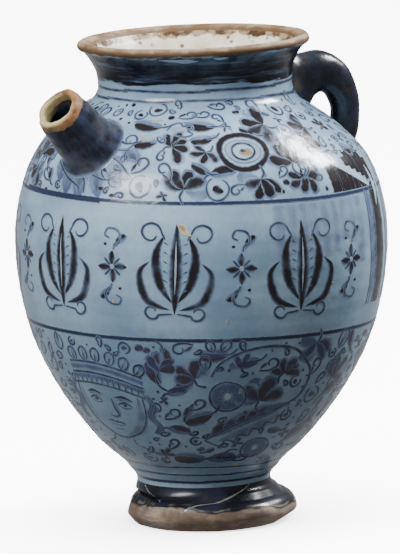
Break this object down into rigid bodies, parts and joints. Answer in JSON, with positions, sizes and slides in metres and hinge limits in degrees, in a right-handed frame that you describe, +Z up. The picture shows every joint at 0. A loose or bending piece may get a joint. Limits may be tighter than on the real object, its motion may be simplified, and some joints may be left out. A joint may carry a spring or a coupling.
{
  "type": "wet drug jar",
  "caption": "Glazed earthenware jar for liquids: ovoid belly on a rolled foot, flared collar, upturned tapered spout on the shoulder and a round ear handle from neck to shoulder.",
  "frame": {"origin": "centre of the flat base, on the surface the jar stands on", "axes": "+Z up along the jar's axis, spout towards -X, handle towards +X and turned a little towards -Y"},
  "size_m": [0.1989, 0.1864, 0.24],
  "materials": {
    "blue_glaze": "glossy pale grey-blue tin glaze, painted in blue",
    "dark_glaze": "glossy blue-black glaze",
    "bare_clay": "worn bare clay, matt",
    "cream_glaze": "cream glaze with specks"
  },
  "bodies": {
    "root": {"body": "blue_glaze", "neck": "blue_glaze", "foot": "bare_clay", "spout": "dark_glaze", "handle": "dark_glaze", "neck_slip": "blue_glaze", "foot_slip": "dark_glaze", "spout_slip": "dark_glaze", "handle_top_slip": "dark_glaze", "handle_bottom_slip": "dark_glaze", "interior_glaze": "cream_glaze"}
  },
  "joints": []
}
